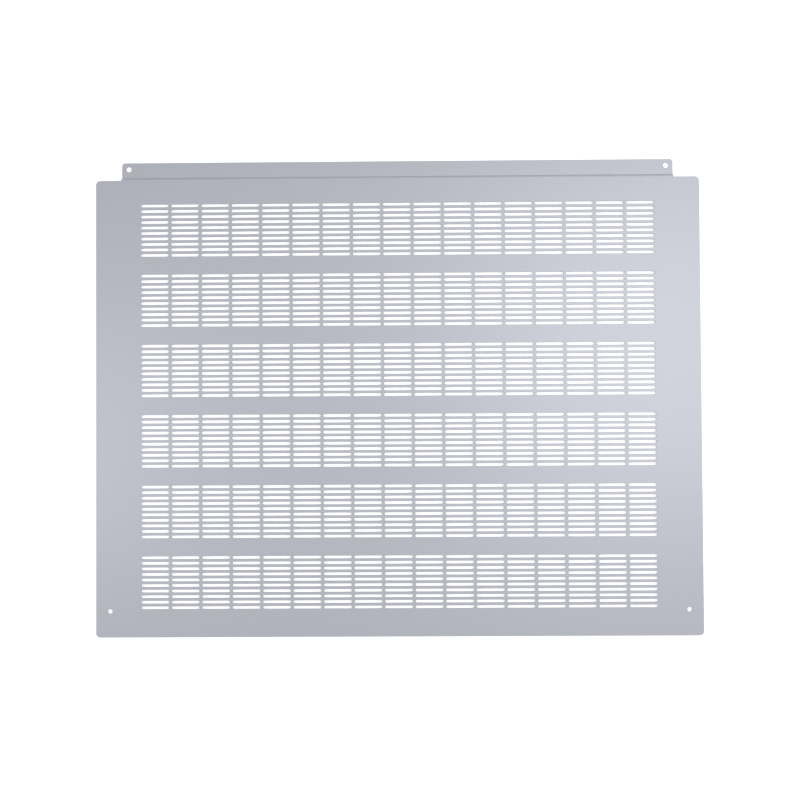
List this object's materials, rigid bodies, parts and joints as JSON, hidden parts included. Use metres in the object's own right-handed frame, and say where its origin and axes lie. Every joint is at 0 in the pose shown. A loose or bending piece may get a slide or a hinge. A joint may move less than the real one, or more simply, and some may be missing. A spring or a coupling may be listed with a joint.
{
  "type": "ventilated sheet metal panel",
  "caption": "Flat sheet steel ventilation panel pierced with bands of obround slots, with a narrower joggled top flange and round fixing holes in the corners.",
  "frame": {"origin": "under the middle of the outline, on the plane of the flange's back, which the panel lies on", "axes": "+X along the width, +Y towards the joggled flange, +Z out of the front face"},
  "size_m": [0.656, 0.516, 0.0045],
  "materials": {
    "coated_sheet": "smooth satin light grey powder coat"
  },
  "bodies": {
    "root": {"vent_panel": "coated_sheet"}
  },
  "joints": []
}
